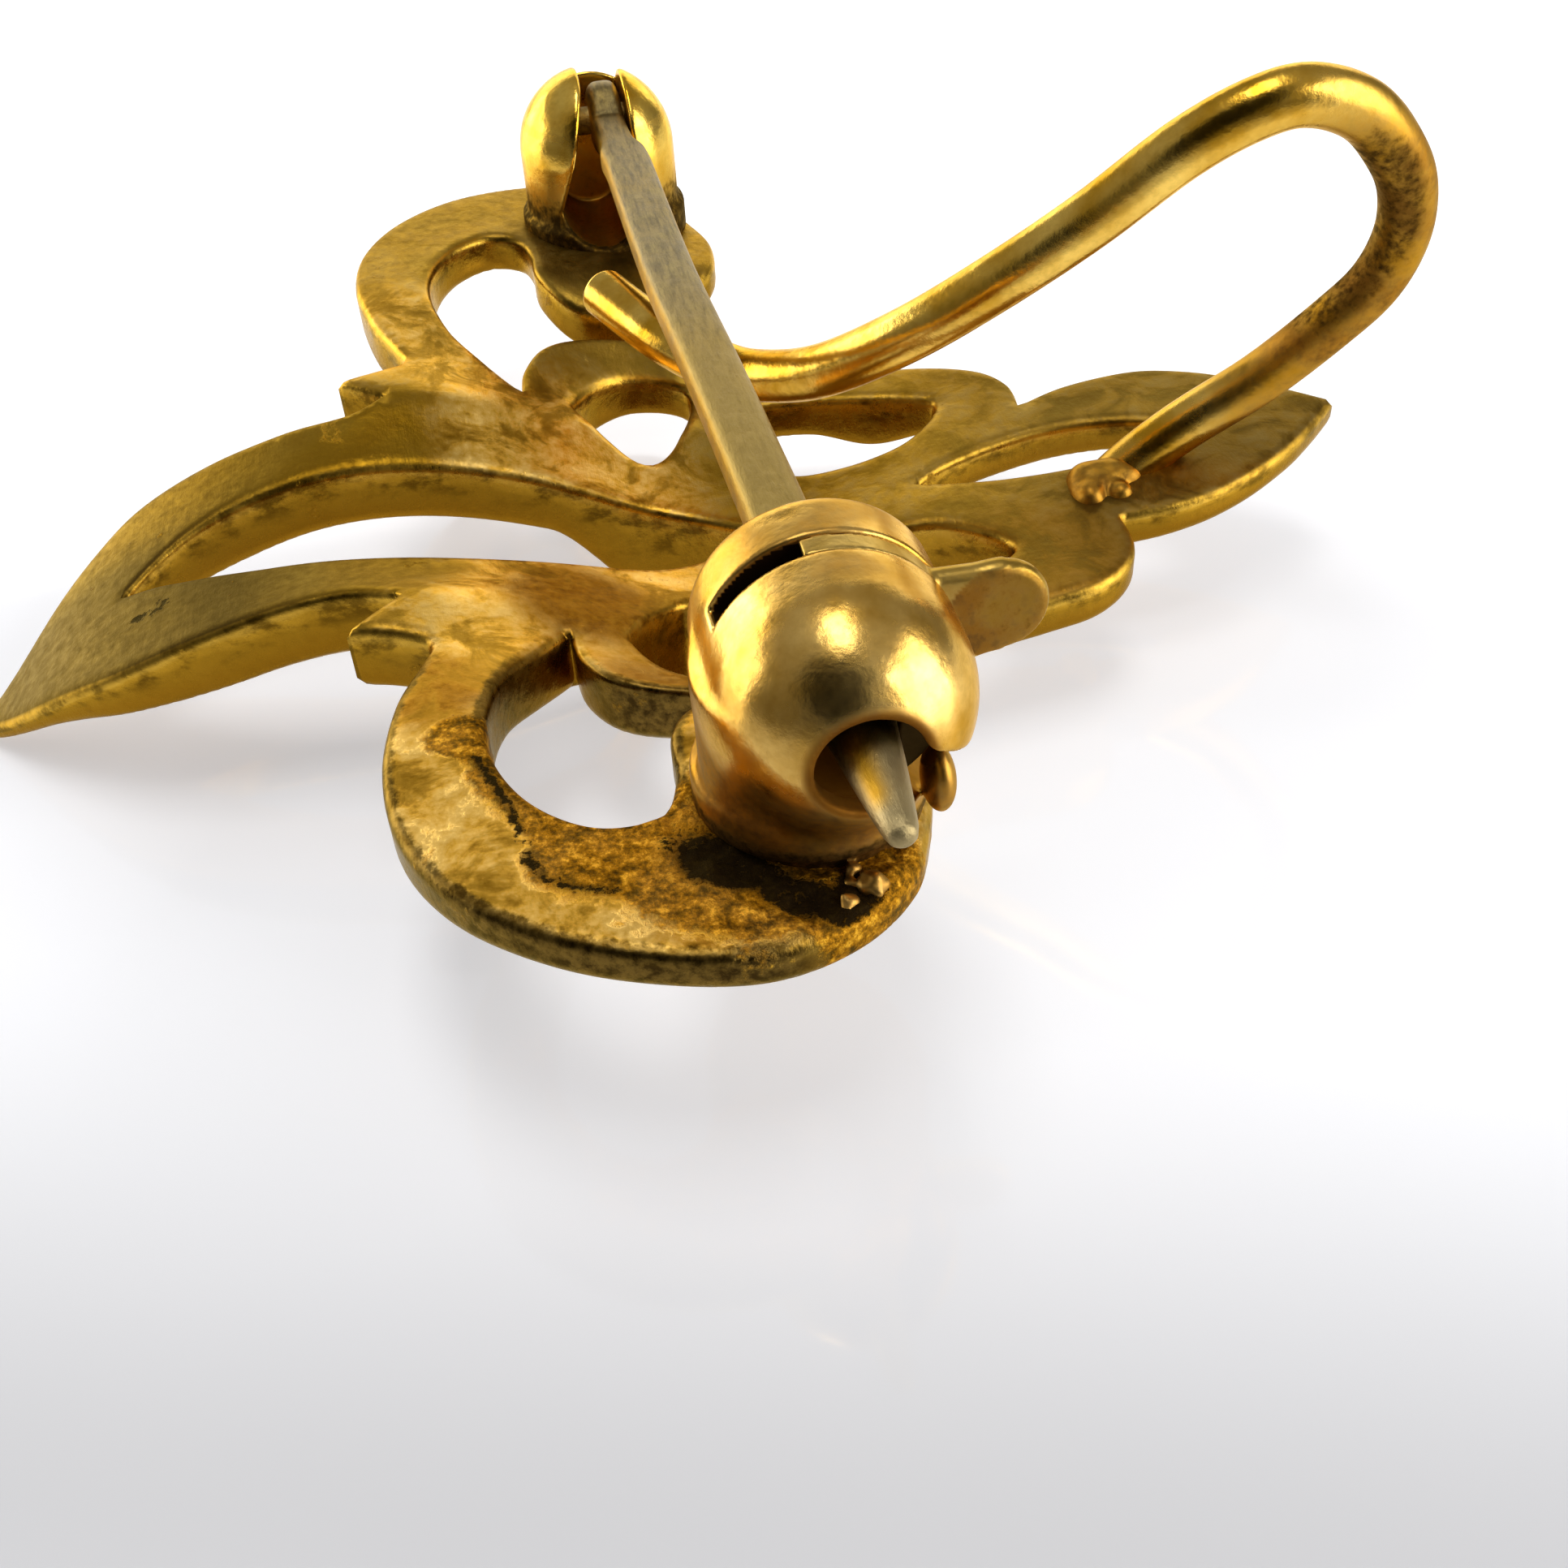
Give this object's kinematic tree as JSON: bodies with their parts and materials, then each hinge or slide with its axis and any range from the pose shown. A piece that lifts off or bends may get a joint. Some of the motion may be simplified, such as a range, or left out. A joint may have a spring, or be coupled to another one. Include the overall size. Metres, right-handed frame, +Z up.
{
  "type": "watch pin",
  "caption": "Fleur-de-lis brooch lying on its front, with a pin stem, a turning safety catch and a watch hook on its pierced, arched back.",
  "frame": {"origin": "middle of the bounding box in plan, on the surface that the brooch lies on", "axes": "+X from the leaf's tip towards the foot, +Y across the brooch towards the hinge, +Z up, out of the back"},
  "size_m": [0.0275, 0.0272, 0.011],
  "materials": {
    "aged_gold": "satin, worn and tarnished gold",
    "rivet_metal": "satin",
    "stem_metal": "satin grey gold with fine grain",
    "sleeve_gold": "satin, worn gold"
  },
  "bodies": {
    "brooch": {"brooch_body": "aged_gold", "hinge_rivet": "rivet_metal"},
    "pin": {"pin_stem": "stem_metal"},
    "catch": {"catch_sleeve": "sleeve_gold"}
  },
  "joints": [
    {"name": "pin_swing", "type": "hinge", "parent": "brooch", "child": "pin", "pos_m": [0.00073, 0.01135, 0.0064], "axis": [-1, 0, 0], "range_deg": [0, 100]},
    {"name": "catch_turn", "type": "hinge", "parent": "brooch", "child": "catch", "pos_m": [0.00102, -0.00835, 0.0064], "axis": [0, -1, 0], "range_deg": [0, 50]}
  ]
}
